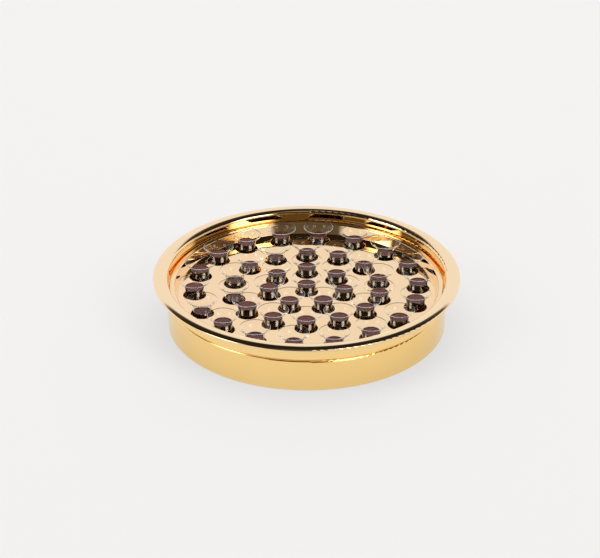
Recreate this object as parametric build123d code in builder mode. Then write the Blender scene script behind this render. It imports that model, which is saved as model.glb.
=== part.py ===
"""Round communion tray: a base ring, a deep tray, a pierced cup disc that drops into it, and forty clear cups.

Millimetres, +Z up. The origin is the centre of the footprint, on the surface the base stands on.
"""

import os
from math import atan2, cos, radians, sin, tan

from build123d import *

# sheet metal
SHEET = 1.0
BEND_R = 0.4  # inside radius of the sharp bends
SEAT_GAP = 0.05  # air left where one loose piece rests on another

# base ring
DRUM_R = 141.6
BASE_H = 33.7
BASE_MOUTH_R = 134.8
BASE_TOP_BEND_R = 1.4  # inside radius where the band turns in for the seat
BASE_FOOT_W = 3.4

# tray
TRAY_H = 54.0
SHOULDER_Z = BASE_H + SEAT_GAP
DRAWN_R = 134.0  # outer radius of the part that hangs inside the base
FLOOR_Z = 14.0  # top of the floor the cups stand on
FLOOR_BEND_R = 3.0
FLANGE_IN_Z = 52.8
FLANGE_CREST_R = 148.2
FLANGE_OUT_R = 154.6
FLANGE_OUT_Z = 53.1
FLANGE_BEND_R = 2.0  # inside radius where the band rolls out into the flange
BEAD_R = 1.2

# cup disc
DISC_Z = 32.6
DISC_R = 130.8
LEDGE_Z = 43.0
LEDGE_IN_R = 134.0
LEDGE_OUT_R = 139.4
CUP_HOLE_R = 11.7
HOLE_EDGE_R = 0.3
CUP_RINGS = [
    # ring radius, cups in the ring, angle of the first cup
    (0.0, 1, 90.0),
    (39.0, 7, 90.0),
    (75.3, 14, 90.0),
    (113.9, 18, 84.0),
]

# cup
CUP_WALL = 0.8
CUP_FLOOR = 1.4
CUP_FOOT_R = 8.2
CUP_RECESS_R = 6.6
CUP_RECESS_H = 0.5
CUP_NECK_R = 9.3  # where the straight wall turns into the flare
CUP_NECK_H = 25.0
CUP_FLARE_R = 10.7
CUP_FLARE_END = 63.8  # degrees the wall leans out at the lip


def cup_places():
    """Name and centre of every cup, ring by ring from the middle."""
    places = []
    for ring, (radius, count, first) in enumerate(CUP_RINGS):
        for k in range(count):
            angle = radians(first + 360.0 * k / count)
            name = f"cup_{ring}_{k + 1:02d}"
            places.append((name, radius * cos(angle), radius * sin(angle)))
    return places


def corner(sketch, x, y):
    """The sketch's vertex at x, y."""
    return sketch.vertices().sort_by_distance((x, y, 0))[0]


def finish(part, label):
    part.label = label
    export_step(part, f"parts/{label}.step")


os.makedirs("parts", exist_ok=True)

# Base: a rolled band with its top turned in as a seat for the tray, and a narrow foot turned in below.
with BuildPart() as base:
    with BuildSketch(Plane.XZ) as base_wall:
        with BuildLine():
            Polyline(
                (DRUM_R - BASE_FOOT_W, 0),
                (DRUM_R, 0),
                (DRUM_R, BASE_H),
                (BASE_MOUTH_R, BASE_H),
                (BASE_MOUTH_R, BASE_H - SHEET),
                (DRUM_R - SHEET, BASE_H - SHEET),
                (DRUM_R - SHEET, SHEET),
                (DRUM_R - BASE_FOOT_W, SHEET),
                close=True,
            )
        make_face()
        fillet(corner(base_wall, DRUM_R, 0), BEND_R + SHEET)
        fillet(corner(base_wall, DRUM_R - SHEET, SHEET), BEND_R)
        fillet(corner(base_wall, DRUM_R, BASE_H), BASE_TOP_BEND_R + SHEET)
        fillet(corner(base_wall, DRUM_R - SHEET, BASE_H - SHEET), BASE_TOP_BEND_R)
    revolve(axis=Axis.Z)
finish(base.part, "base")

# Tray: one spun sheet. A domed flange with a beaded edge, a band, a shoulder that sits on the base, and a
# narrower drawn part below it that ends in the floor. The bead curls down under the flange's edge, so that its
# top runs on from the flange without a step.
flange_top = ThreePointArc(
    (FLANGE_OUT_R, FLANGE_OUT_Z),
    (FLANGE_CREST_R, TRAY_H),
    (DRUM_R - SHEET, FLANGE_IN_Z),
)
flange_centre = flange_top.arc_center
edge_tilt = atan2(FLANGE_OUT_R - flange_centre.X, FLANGE_OUT_Z - flange_centre.Y)
bead_at = (FLANGE_OUT_R - BEAD_R * sin(edge_tilt), FLANGE_OUT_Z - BEAD_R * cos(edge_tilt))
with BuildPart() as tray:
    with BuildSketch(Plane.XZ) as tray_wall:
        with BuildLine():
            ThreePointArc(
                (FLANGE_OUT_R, FLANGE_OUT_Z),
                (FLANGE_CREST_R, TRAY_H),
                (DRUM_R - SHEET, FLANGE_IN_Z),
            )
            Polyline(
                (DRUM_R - SHEET, FLANGE_IN_Z),
                (DRUM_R - SHEET, SHOULDER_Z + SHEET),
                (DRAWN_R - SHEET, SHOULDER_Z + SHEET),
                (DRAWN_R - SHEET, FLOOR_Z),
                (0, FLOOR_Z),
                (0, FLOOR_Z - SHEET),
                (DRAWN_R, FLOOR_Z - SHEET),
                (DRAWN_R, SHOULDER_Z),
                (DRUM_R, SHOULDER_Z),
                (DRUM_R, FLANGE_IN_Z - SHEET),
            )
            ThreePointArc(
                (DRUM_R, FLANGE_IN_Z - SHEET),
                (FLANGE_CREST_R, TRAY_H - SHEET),
                (FLANGE_OUT_R, FLANGE_OUT_Z - SHEET),
            )
            Line((FLANGE_OUT_R, FLANGE_OUT_Z - SHEET), (FLANGE_OUT_R, FLANGE_OUT_Z))
        make_face()
        with Locations(bead_at):
            Circle(BEAD_R)
        fillet(corner(tray_wall, DRUM_R - SHEET, FLANGE_IN_Z), FLANGE_BEND_R + SHEET)
        fillet(corner(tray_wall, DRUM_R, FLANGE_IN_Z - SHEET), FLANGE_BEND_R)
        fillet(corner(tray_wall, DRUM_R, SHOULDER_Z), BEND_R + SHEET)
        fillet(corner(tray_wall, DRUM_R - SHEET, SHOULDER_Z + SHEET), BEND_R)
        fillet(corner(tray_wall, DRAWN_R - SHEET, SHOULDER_Z + SHEET), BEND_R + SHEET)
        fillet(corner(tray_wall, DRAWN_R, SHOULDER_Z), BEND_R)
        fillet(corner(tray_wall, DRAWN_R - SHEET, FLOOR_Z), FLOOR_BEND_R)
        fillet(corner(tray_wall, DRAWN_R, FLOOR_Z - SHEET), FLOOR_BEND_R + SHEET)
    revolve(axis=Axis.Z)
finish(tray.part, "tray")

# Cup disc: a flat plate in a leaning wall, with a level ledge and a skirt that stands on the tray's shoulder.
lean = atan2(LEDGE_IN_R - DISC_R, LEDGE_Z - DISC_Z)
wall_across = SHEET / cos(lean)
wall_drop = SHEET * tan(lean)
skirt_z = SHOULDER_Z + SHEET + SEAT_GAP
with BuildPart() as cup_disc:
    with BuildSketch(Plane.XZ) as disc_wall:
        with BuildLine():
            Polyline(
                (0, DISC_Z),
                (DISC_R, DISC_Z),
                (LEDGE_IN_R, LEDGE_Z),
                (LEDGE_OUT_R, LEDGE_Z),
                (LEDGE_OUT_R, skirt_z),
                (LEDGE_OUT_R - SHEET, skirt_z),
                (LEDGE_OUT_R - SHEET, LEDGE_Z - SHEET),
                (LEDGE_IN_R + wall_across - wall_drop, LEDGE_Z - SHEET),
                (DISC_R + wall_across - wall_drop, DISC_Z - SHEET),
                (0, DISC_Z - SHEET),
                close=True,
            )
        make_face()
        fillet(corner(disc_wall, DISC_R, DISC_Z), BEND_R)
        fillet(corner(disc_wall, LEDGE_IN_R, LEDGE_Z), BEND_R + SHEET)
        fillet(corner(disc_wall, LEDGE_OUT_R, LEDGE_Z), BEND_R + SHEET)
        fillet(corner(disc_wall, LEDGE_OUT_R - SHEET, LEDGE_Z - SHEET), BEND_R)
    revolve(axis=Axis.Z)
    with BuildSketch(Plane.XY.offset(DISC_Z - 2 * SHEET)):
        with Locations(*[(x, y) for _, x, y in cup_places()]):
            Circle(CUP_HOLE_R)
    extrude(amount=3 * SHEET, mode=Mode.SUBTRACT)
    hole_edges = cup_disc.edges().filter_by(GeomType.CIRCLE)
    hole_edges = hole_edges.filter_by(lambda e: abs(e.radius - CUP_HOLE_R) < 0.01)
    fillet(hole_edges.group_by(Axis.Z)[-1], HOLE_EDGE_R)
finish(cup_disc.part, "cup_disc")

# Cup: a nearly straight wall that flares out to a rounded lip, on a foot ring.
cup_lean = atan2(CUP_NECK_R - CUP_FOOT_R, CUP_NECK_H)
flare_end = radians(CUP_FLARE_END)
flare_mid = (cup_lean + flare_end) / 2
flare_x = CUP_NECK_R + CUP_FLARE_R * cos(cup_lean)
flare_z = CUP_NECK_H - CUP_FLARE_R * sin(cup_lean)


def flare(radius, angle):
    """A point of the flare's arc, the angle measured from where the wall would be upright."""
    return (flare_x - radius * cos(angle), flare_z + radius * sin(angle))


lip_x, lip_z = flare(CUP_FLARE_R + CUP_WALL / 2, flare_end)
lip_tip = (lip_x + CUP_WALL / 2 * sin(flare_end), lip_z + CUP_WALL / 2 * cos(flare_end))
inner_neck = flare(CUP_FLARE_R + CUP_WALL, cup_lean)
inner_foot_r = inner_neck[0] - (inner_neck[1] - CUP_FLOOR) * tan(cup_lean)
with BuildPart() as cup:
    with BuildSketch(Plane.XZ) as cup_wall:
        with BuildLine():
            Polyline(
                (0, CUP_FLOOR),
                (0, CUP_RECESS_H),
                (CUP_RECESS_R, CUP_RECESS_H),
                (CUP_RECESS_R, 0),
                (CUP_FOOT_R, 0),
                (CUP_NECK_R, CUP_NECK_H),
            )
            ThreePointArc(
                (CUP_NECK_R, CUP_NECK_H),
                flare(CUP_FLARE_R, flare_mid),
                flare(CUP_FLARE_R, flare_end),
            )
            ThreePointArc(
                flare(CUP_FLARE_R, flare_end),
                lip_tip,
                flare(CUP_FLARE_R + CUP_WALL, flare_end),
            )
            ThreePointArc(
                flare(CUP_FLARE_R + CUP_WALL, flare_end),
                flare(CUP_FLARE_R + CUP_WALL, flare_mid),
                inner_neck,
            )
            Polyline(inner_neck, (inner_foot_r, CUP_FLOOR), (0, CUP_FLOOR))
        make_face()
        fillet(corner(cup_wall, CUP_FOOT_R, 0), CUP_WALL / 2)
        fillet(corner(cup_wall, inner_foot_r, CUP_FLOOR), CUP_WALL)
    revolve(axis=Axis.Z)

for name, x, y in cup_places():
    with BuildPart() as placed_cup:
        with Locations((x, y, FLOOR_Z + SEAT_GAP)):
            add(cup.part)
    finish(placed_cup.part, name)
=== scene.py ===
"""Looks for the communion tray: materials for the CAD nodes, the drink in the cups, stage, lights and camera."""
import math

import bpy
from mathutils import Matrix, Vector


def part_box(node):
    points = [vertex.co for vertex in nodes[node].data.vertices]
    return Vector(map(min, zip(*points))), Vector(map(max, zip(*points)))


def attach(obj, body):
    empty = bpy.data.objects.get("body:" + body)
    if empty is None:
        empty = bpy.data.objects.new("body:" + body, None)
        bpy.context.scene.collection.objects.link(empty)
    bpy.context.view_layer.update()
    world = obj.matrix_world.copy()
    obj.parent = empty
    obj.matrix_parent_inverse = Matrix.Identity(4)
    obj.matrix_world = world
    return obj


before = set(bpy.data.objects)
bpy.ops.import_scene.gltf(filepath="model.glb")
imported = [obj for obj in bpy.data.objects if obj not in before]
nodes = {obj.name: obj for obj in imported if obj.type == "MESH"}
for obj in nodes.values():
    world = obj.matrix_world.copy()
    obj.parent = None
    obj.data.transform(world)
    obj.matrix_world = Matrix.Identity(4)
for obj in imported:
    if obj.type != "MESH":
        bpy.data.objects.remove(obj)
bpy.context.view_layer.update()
MM = 0.001

# cup shape, as in the CAD, in millimetres above the cup's own foot
CUP_WALL, CUP_FLOOR = 0.8, 1.4
CUP_FOOT_R, CUP_NECK_R, CUP_NECK_H = 8.2, 9.3, 25.0
LIP_R = 15.5  # the lip's outer radius
FLARE_R, FLARE_END = 10.7, math.radians(63.8)
LEAN = math.atan2(CUP_NECK_R - CUP_FOOT_R, CUP_NECK_H)
FLARE_X = CUP_NECK_R + FLARE_R * math.cos(LEAN)
FLARE_Z = CUP_NECK_H - FLARE_R * math.sin(LEAN)
cup_names = sorted(n for n in nodes if n.startswith("cup_") and n != "cup_disc")


def inner_radius(h):
    """Radius of a cup's inside at height h above its foot."""
    r_arc = FLARE_R + CUP_WALL
    neck_h = FLARE_Z + r_arc * math.sin(LEAN)
    if h > neck_h:
        s = (h - FLARE_Z) / r_arc
        return FLARE_X - r_arc * math.sqrt(max(0.0, 1.0 - s * s))
    neck_x = FLARE_X - r_arc * math.cos(LEAN)
    return neck_x - (neck_h - h) * math.tan(LEAN)


def lathe(name, profile, segments, centre):
    """A surface of revolution from (radius, height) points in millimetres; a radius of 0 closes on the axis."""
    verts, faces, rows = [], [], []
    cx, cy, cz = centre
    for r, z in profile:
        if r < 1e-6:
            rows.append([len(verts)])
            verts.append((cx, cy, cz + z * MM))
        else:
            row = []
            for k in range(segments):
                a = 2 * math.pi * k / segments
                row.append(len(verts))
                verts.append((cx + r * MM * math.cos(a), cy + r * MM * math.sin(a), cz + z * MM))
            rows.append(row)
    for lower, upper in zip(rows, rows[1:]):
        for k in range(segments):
            j = (k + 1) % segments
            if len(lower) == 1 and len(upper) > 1:
                faces.append((lower[0], upper[j], upper[k]))
            elif len(upper) == 1 and len(lower) > 1:
                faces.append((lower[k], lower[j], upper[0]))
            elif len(lower) > 1 and len(upper) > 1:
                faces.append((lower[k], lower[j], upper[j], upper[k]))
    mesh = bpy.data.meshes.new(name)
    mesh.from_pydata(verts, [], faces)
    mesh.update()
    for p in mesh.polygons:
        p.use_smooth = True
    obj = bpy.data.objects.new(name, mesh)
    bpy.context.scene.collection.objects.link(obj)
    return obj


# ---------------------------------------------------------------- materials
RIM_Z = 51.8  # height in mm where the tray's rolled edge begins
RIM_HIGHLIGHT_FADE = 1.0  # mm over which its paler colour, a painted highlight, comes in, either way
LIP_HIGHLIGHT_FROM = 15.05  # radius in mm where the cup lip's paler edge, a painted highlight, begins
LIP_HIGHLIGHT_FADE = 0.25  # mm over which it comes in
WALL_NORMAL, TOP_NORMAL = 0.6, 0.9  # upward part of the normal at the drink's wetted wall and at its open surface


def new_material(name):
    m = bpy.data.materials.new(name)
    m.use_nodes = True
    t = m.node_tree
    t.nodes.clear()
    out = t.nodes.new("ShaderNodeOutputMaterial")
    bsdf = t.nodes.new("ShaderNodeBsdfPrincipled")
    t.links.new(bsdf.outputs["BSDF"], out.inputs["Surface"])
    return m, t, bsdf


def feed(tree, socket, value):
    """Link an input to another node's output, or set it to a plain value."""
    if isinstance(value, bpy.types.NodeSocket):
        tree.links.new(value, socket)
    else:
        socket.default_value = value


def ramp(tree, value, low, high, start=0.0, end=1.0, smooth=False):
    """From start to end as value goes from low to high."""
    node = tree.nodes.new("ShaderNodeMapRange")
    if smooth:
        node.interpolation_type = "SMOOTHSTEP"
    for socket, number in (("From Min", low), ("From Max", high), ("To Min", start), ("To Max", end)):
        node.inputs[socket].default_value = number
    tree.links.new(value, node.inputs["Value"])
    return node.outputs["Result"]


def blend(tree, factor, a, b):
    """From colour a to colour b by factor."""
    node = tree.nodes.new("ShaderNodeMix")
    node.data_type = "RGBA"
    feed(tree, node.inputs["A"], a)
    feed(tree, node.inputs["B"], b)
    tree.links.new(factor, node.inputs["Factor"])
    return node.outputs["Result"]


def noise(tree, place, scale, detail):
    node = tree.nodes.new("ShaderNodeTexNoise")
    node.inputs["Scale"].default_value = scale
    node.inputs["Detail"].default_value = detail
    tree.links.new(place, node.inputs["Vector"])
    return node.outputs["Fac"]


def gold(name, colour, deep, roughness, bump, rim_highlight=None):
    """Polished brass under clear lacquer: slight tone drift, faint ripples of the spinning, a few handling marks.

    The rolled edge above RIM_Z takes a paler colour, given as the last argument: a painted highlight for the
    bright backdrop it mirrors.
    """
    m, t, bsdf = new_material(name)
    place = t.nodes.new("ShaderNodeTexCoord").outputs["Object"]
    drift = ramp(t, noise(t, place, 9.0, 3.0), 0.35, 0.75)
    tone = blend(t, drift, (*colour, 1), (*deep, 1))
    # painted highlight: a paler gold on the rolled edge above RIM_Z, for the bright backdrop it mirrors
    if rim_highlight:
        height = t.nodes.new("ShaderNodeSeparateXYZ")
        t.links.new(place, height.inputs["Vector"])
        edge = ramp(t, height.outputs["Z"], (RIM_Z - RIM_HIGHLIGHT_FADE) * MM, (RIM_Z + RIM_HIGHLIGHT_FADE) * MM, smooth=True)
        tone = blend(t, edge, tone, (*rim_highlight, 1))
    t.links.new(tone, bsdf.inputs["Base Color"])
    marks = ramp(t, noise(t, place, 60.0, 6.0), 0.45, 0.8, roughness, roughness + 0.06)
    t.links.new(marks, bsdf.inputs["Roughness"])
    ripples = t.nodes.new("ShaderNodeBump")
    ripples.inputs["Strength"].default_value = bump
    ripples.inputs["Distance"].default_value = 0.4 * MM
    t.links.new(noise(t, place, 22.0, 1.0), ripples.inputs["Height"])
    t.links.new(ripples.outputs["Normal"], bsdf.inputs["Normal"])
    bsdf.inputs["Metallic"].default_value = 1.0
    bsdf.inputs["Coat Weight"].default_value = 0.12
    bsdf.inputs["Coat Roughness"].default_value = 0.02
    bsdf.inputs["Coat IOR"].default_value = 1.5
    return m


def clear_plastic():
    """Clear moulded plastic: it hardly bends what is behind it and shines by its coat; it is paler at the lip, a
    painted highlight for the light the rounded lip catches.
    """
    m, t, bsdf = new_material("clear_styrene")
    coord = t.nodes.new("ShaderNodeTexCoord")
    haze = ramp(t, noise(t, coord.outputs["Object"], 150.0, 3.0), 0.5, 0.9, 0.0, 0.04)
    t.links.new(haze, bsdf.inputs["Roughness"])
    # distance from the cup's own axis, from 0 to 0.5 at the lip
    centred = t.nodes.new("ShaderNodeVectorMath")
    centred.operation = "SUBTRACT"
    centred.inputs[1].default_value = (0.5, 0.5, 0.0)
    t.links.new(coord.outputs["Generated"], centred.inputs[0])
    flat = t.nodes.new("ShaderNodeVectorMath")
    flat.operation = "MULTIPLY"
    flat.inputs[1].default_value = (1.0, 1.0, 0.0)
    t.links.new(centred.outputs["Vector"], flat.inputs[0])
    out_by = t.nodes.new("ShaderNodeVectorMath")
    out_by.operation = "LENGTH"
    t.links.new(flat.outputs["Vector"], out_by.inputs[0])
    # painted highlight: towards the lip the plastic turns from clear to mostly diffuse near-white
    clear = ramp(t, out_by.outputs["Value"], LIP_HIGHLIGHT_FROM / (2 * LIP_R), (LIP_HIGHLIGHT_FROM + LIP_HIGHLIGHT_FADE) / (2 * LIP_R),
                 1.0, 0.3, smooth=True)
    t.links.new(clear, bsdf.inputs["Transmission Weight"])
    bsdf.inputs["Base Color"].default_value = (0.995, 0.995, 1.0, 1)
    bsdf.inputs["IOR"].default_value = 1.04
    bsdf.inputs["Coat Weight"].default_value = 0.35
    bsdf.inputs["Coat Roughness"].default_value = 0.02
    bsdf.inputs["Coat IOR"].default_value = 1.45
    return m


def drink():
    """Dark red drink: its surface tints what is seen through it, the open surface less than the wetted wall.

    The wetted wall also shines more. Beyond the drink's own dark red, the open surface is made a little diffuse in
    a lighter red, painted light for the light that comes through the drink there, and the near-black wetted wall
    is painted shade.
    """
    m, t, bsdf = new_material("red_drink")
    facing = t.nodes.new("ShaderNodeNewGeometry")
    split = t.nodes.new("ShaderNodeSeparateXYZ")
    t.links.new(facing.outputs["Normal"], split.inputs["Vector"])
    wetted = ramp(t, split.outputs["Z"], WALL_NORMAL, TOP_NORMAL, 1.0, 0.0)
    t.links.new(wetted, bsdf.inputs["Coat Weight"])
    # painted light and shade by which way the surface faces: the open surface a little diffuse and lighter red,
    # the wetted wall near black
    t.links.new(ramp(t, wetted, 0.0, 1.0, 0.84, 1.0), bsdf.inputs["Transmission Weight"])
    painted_light_tint = blend(t, wetted, (0.9, 0.27, 0.2, 1), (0.028, 0.005, 0.004, 1))
    t.links.new(painted_light_tint, bsdf.inputs["Base Color"])
    bsdf.inputs["Roughness"].default_value = 0.0
    bsdf.inputs["IOR"].default_value = 1.24
    bsdf.inputs["Coat Roughness"].default_value = 0.02
    bsdf.inputs["Coat IOR"].default_value = 2.0
    return m


# the disc's gold is paler than the tray's and the base's: a painted highlight, for the bright backdrop its flat
# top mirrors
GOLD_DISC = gold("gold_disc", (1.0, 0.745, 0.47), (0.98, 0.725, 0.44), 0.03, 0.05)
# the tray's paler rolled-edge colour is a painted highlight
GOLD_TRAY = gold("gold_tray", (1.0, 0.71, 0.31), (0.98, 0.68, 0.28), 0.045, 0.05, rim_highlight=(1.0, 0.775, 0.50))
GOLD_BASE = gold("gold_base", (0.99, 0.685, 0.27), (0.96, 0.645, 0.24), 0.04, 0.08)
PLASTIC = clear_plastic()
DRINK = drink()


def dress(node, material):
    o = nodes[node]
    o.data.materials.clear()
    o.data.materials.append(material)


dress("base", GOLD_BASE)
dress("tray", GOLD_TRAY)
dress("cup_disc", GOLD_DISC)
for name in cup_names:
    dress(name, PLASTIC)
    # the photo's polished disc shows no mirror images of the cups, so reflection rays pass them by
    nodes[name].visible_glossy = False

# ---------------------------------------------------------------- drink in the cups
DISC_ABOVE_FOOT = 18.55  # the disc's top face, in mm above a cup's foot
FILL = {  # fill height above the disc's top face, for each ring's cups in their order
    "cup_0": [8.6],
    "cup_1": [7.8, 7.8, 9.1, 8.6, 9.4, 7.8, 7.8],
    "cup_2": [5.9, 3.5, 5.3, 4.1, 2.4, 9.0, 8.5, 8.8, 8.3, 7.9, 8.2, 6.8, 6.2, 6.9],
    "cup_3": [5.3, 7.0, 7.8, 7.8, 8.3, 9.0, 2.9, 8.4, 5.6, 5.6, 5.6, 7.2, 7.7, 9.2, 7.2, 7.4, 4.5, 7.0],
}
BITE = 0.7  # how far the drink reaches into the cup's wall and floor, so that no gap shows
FLOOR_ROUND = 0.8  # inside radius where the cup's wall meets its floor
FLOOR_STEPS, LOW_STEPS, TOP_STEPS = 4, 16, 10
RISE = 0.35  # how far the drink climbs at the wall
CLIMB = ((0.25, 0.12), (0.55, 0.24), (1.0, 0.32), (1.8, 0.35))  # in from the wall, down from the climb's top
SEGMENTS = 48


def drink_profiles(level):
    """Outlines of the drink below and above the disc's top face, where the two meshes meet."""
    low = [(0.0, CUP_FLOOR - BITE), (inner_radius(CUP_FLOOR) - BITE, CUP_FLOOR - BITE)]
    round_top = CUP_FLOOR + FLOOR_ROUND
    round_r = inner_radius(round_top) - FLOOR_ROUND
    for k in range(FLOOR_STEPS + 1):
        a = math.pi / 2 * k / FLOOR_STEPS
        low.append((round_r + BITE + FLOOR_ROUND * math.sin(a), round_top - BITE - FLOOR_ROUND * math.cos(a)))
    for k in range(1, LOW_STEPS + 1):
        h = round_top + (DISC_ABOVE_FOOT - round_top) * k / LOW_STEPS
        low.append((inner_radius(h) + BITE, h))
    top = [low[-1]]
    for k in range(1, TOP_STEPS + 1):
        h = DISC_ABOVE_FOOT + (level + RISE - DISC_ABOVE_FOOT) * k / TOP_STEPS
        top.append((inner_radius(h) + BITE, h))
    for inset, drop in CLIMB:
        top.append((inner_radius(level) - inset, level + RISE - drop))
    top.append((0.0, level))
    return {"low": low, "top": top}


for name in cup_names:
    ring, index = name.rsplit("_", 1)
    low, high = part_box(name)
    centre = ((low.x + high.x) / 2, (low.y + high.y) / 2, low.z)
    profiles = drink_profiles(DISC_ABOVE_FOOT + FILL[ring][int(index) - 1])
    for part, points in profiles.items():
        fill = lathe(f"drink_{part}_{name[4:]}", points, SEGMENTS, centre)
        fill.data.materials.append(DRINK)
        # above the disc it has no mirror image, as the cups; below, it keeps the space under the disc dark
        fill.visible_glossy = part == "low"
        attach(fill, name)

# ---------------------------------------------------------------- stage
FLOOR_HALF = 9.0  # metres from the middle to an edge
FLOOR_COLOUR, FLOOR_ROUGHNESS = (0.27, 0.268, 0.267, 1), 0.8
FLOOR_GLOW, FLOOR_GLOW_COLOUR = 0.635, (1.0, 0.99, 0.985, 1)  # light of its own, for the photo's near-white ground


def studio_floor(name):
    corners = [(x * FLOOR_HALF, y * FLOOR_HALF, 0) for x, y in ((-1, -1), (1, -1), (1, 1), (-1, 1))]
    mesh = bpy.data.meshes.new(name)
    mesh.from_pydata(corners, [], [(0, 1, 2, 3)])
    obj = bpy.data.objects.new(name, mesh)
    bpy.context.scene.collection.objects.link(obj)
    m, t, bsdf = new_material(name + "_paint")
    bsdf.inputs["Base Color"].default_value = FLOOR_COLOUR
    bsdf.inputs["Roughness"].default_value = FLOOR_ROUGHNESS
    bsdf.inputs["Emission Color"].default_value = FLOOR_GLOW_COLOUR
    bsdf.inputs["Emission Strength"].default_value = FLOOR_GLOW
    mesh.materials.append(m)


studio_floor("floor")

# ---------------------------------------------------------------- camera, fitted to the photo's ellipses
ELEV = math.radians(28.24)
DIST, AIM_Z = 2.300, 0.0471
TURN = math.radians(0.3)
YAW = math.radians(0.191)
PHOTO_W, FOCAL_PX, SENSOR = 600, 2266.8, 36.0
cam_data = bpy.data.cameras.new("camera")
cam = bpy.data.objects.new("camera", cam_data)
bpy.context.scene.collection.objects.link(cam)
reach = DIST * math.cos(ELEV)
cam.location = (reach * math.sin(TURN), -reach * math.cos(TURN), AIM_Z + DIST * math.sin(ELEV))
cam.rotation_euler = (math.pi / 2 - ELEV, 0, YAW + TURN)
cam_data.sensor_width = SENSOR
cam_data.lens = FOCAL_PX / PHOTO_W * SENSOR
cam_data.clip_end = 60
bpy.context.scene.camera = cam

# ---------------------------------------------------------------- light
# azimuth from the camera's side towards +X and half width, in degrees, and level
SOFTBOXES = ((49, 14, 4.5), (-69, 11, 4.0))
SOFT_EDGE = 9.0  # degrees over which a softbox's side fades, either way
SOFTBOX_LOW, SOFTBOX_HIGH = 22.0, 48.0  # elevation of its lower and upper edge
LOW_FADE, HIGH_FADE = 3.0, 6.0  # and over how many degrees they fade, either way
WALL_LEVEL, BACKDROP_LEVEL, CEILING_LEVEL = 0.78, 0.80, 0.4
DIM_LOW, DIM_HIGH = 0.11, 0.02  # the rest of the room, below and above about 37 degrees
WARM, NEUTRAL = (1.0, 0.80, 0.55, 1), (1.0, 0.985, 0.975, 1)
NEVER_ZERO = 0.001

world = bpy.data.worlds.new("studio")
bpy.context.scene.world = world
world.use_nodes = True
wt = world.node_tree
wt.nodes.clear()


def w_math(operation, a, b=None, clamp=False):
    node = wt.nodes.new("ShaderNodeMath")
    node.operation = operation
    node.use_clamp = clamp
    for socket, value in zip(node.inputs, (a, b)):
        if value is not None:
            feed(wt, socket, value)
    return node.outputs["Value"]


def w_step(value, low, high, start=0.0, end=1.0):
    return ramp(wt, value, low, high, start, end, smooth=True)


def up(degrees):
    """Upward part of a direction at this elevation."""
    return math.sin(math.radians(degrees))


def softbox(azimuth, half_width, level):
    """A tall softbox with soft edges."""
    a = math.radians(azimuth)
    along = w_math("ADD", w_math("MULTIPLY", w_sep.outputs["X"], math.sin(a)),
                   w_math("MULTIPLY", w_sep.outputs["Y"], -math.cos(a)))
    facing = w_math("DIVIDE", along, w_math("MAXIMUM", w_flat, NEVER_ZERO))
    across = w_step(facing, math.cos(math.radians(half_width + SOFT_EDGE)),
                    math.cos(math.radians(half_width - SOFT_EDGE)), 0.0, level)
    above = w_step(elevation, up(SOFTBOX_LOW - LOW_FADE), up(SOFTBOX_LOW + LOW_FADE))
    below = w_step(elevation, up(SOFTBOX_HIGH - HIGH_FADE), up(SOFTBOX_HIGH + HIGH_FADE), 1.0, 0.0)
    return w_math("MULTIPLY", across, w_math("MULTIPLY", above, below))


# the room as the polished metal sees it: a low pale wall all round except behind the camera, a tall pale backdrop
# behind the tray, a ceiling glow and two softboxes in front
w_coord = wt.nodes.new("ShaderNodeTexCoord")
w_sep = wt.nodes.new("ShaderNodeSeparateXYZ")
wt.links.new(w_coord.outputs["Generated"], w_sep.inputs["Vector"])
elevation = w_sep.outputs["Z"]
w_flat = w_math("SQRT", w_math("SUBTRACT", 1.0, w_math("MULTIPLY", elevation, elevation), True))
w_ahead = w_math("DIVIDE", w_sep.outputs["Y"], w_math("MAXIMUM", w_flat, NEVER_ZERO))
low_wall = w_math("MULTIPLY", w_step(elevation, up(17), up(21), 1.0, 0.0),
                  w_step(w_ahead, -0.90, -0.84, 0.0, WALL_LEVEL))
backdrop = w_math("MULTIPLY", w_step(elevation, up(33.5), up(36.5), 1.0, 0.0),
                  w_step(w_ahead, 0.28, 0.46, 0.0, BACKDROP_LEVEL))
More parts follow.
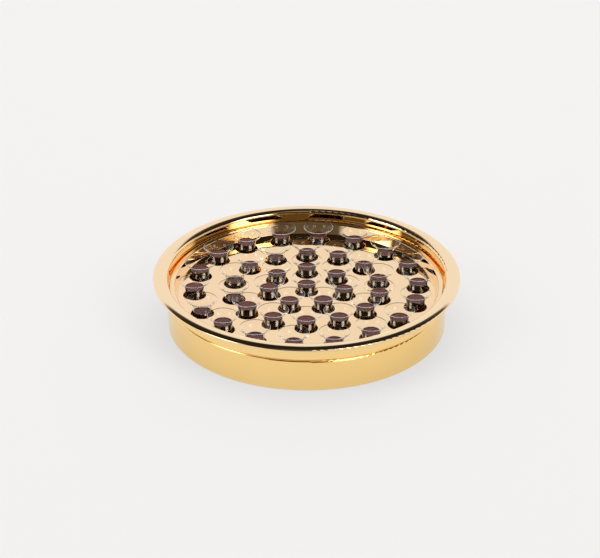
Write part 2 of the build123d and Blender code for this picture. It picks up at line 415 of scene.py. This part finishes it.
ceiling = w_step(elevation, up(74), up(84), 0.0, CEILING_LEVEL)
w_sum = w_math("MAXIMUM", w_math("MAXIMUM", low_wall, backdrop), ceiling)
for azimuth, half_width, level in SOFTBOXES:
    w_sum = w_math("ADD", w_sum, softbox(azimuth, half_width, level))
w_dim = w_step(elevation, up(30), up(44), DIM_LOW, DIM_HIGH)
# the camera itself sees plain white
w_path = wt.nodes.new("ShaderNodeLightPath")
w_mix = wt.nodes.new("ShaderNodeMix")
w_mix.data_type = "FLOAT"
wt.links.new(w_path.outputs["Is Camera Ray"], w_mix.inputs["Factor"])
wt.links.new(w_math("ADD", w_sum, w_dim), w_mix.inputs["A"])
w_mix.inputs["B"].default_value = 1.0
# the dim parts of the room are warm, the lit ones neutral
w_bg = wt.nodes.new("ShaderNodeBackground")
wt.links.new(blend(wt, w_math("MULTIPLY", w_sum, 2.0, True), WARM, NEUTRAL), w_bg.inputs["Color"])
wt.links.new(w_mix.outputs["Result"], w_bg.inputs["Strength"])
w_out = wt.nodes.new("ShaderNodeOutputWorld")
wt.links.new(w_bg.outputs["Background"], w_out.inputs["Surface"])

# a wide fill overhead, which lights the floor and casts the soft shadow but is not mirrored
FILL_AT, FILL_AIM = Vector((0, 0.5, 3.2)), Vector((0, 0.2, 0))
fill_data = bpy.data.lights.new("top_fill", "AREA")
fill_data.shape = "RECTANGLE"
fill_data.size, fill_data.size_y = 4.0, 4.0
fill_data.energy = 70
fill_light = bpy.data.objects.new("top_fill", fill_data)
bpy.context.scene.collection.objects.link(fill_light)
fill_light.location = FILL_AT
fill_light.rotation_euler = (FILL_AIM - FILL_AT).to_track_quat("-Z", "Y").to_euler()
fill_light.visible_camera = False
fill_light.visible_glossy = False

scene = bpy.context.scene
scene.view_settings.view_transform = "Standard"
scene.view_settings.look = "None"
scene.cycles.use_denoising = True
scene.cycles.max_bounces = 40  # many clear cup walls stand one behind another
scene.cycles.transmission_bounces = 32
scene.cycles.glossy_bounces = 12
scene.cycles.caustics_reflective = False
scene.cycles.caustics_refractive = False
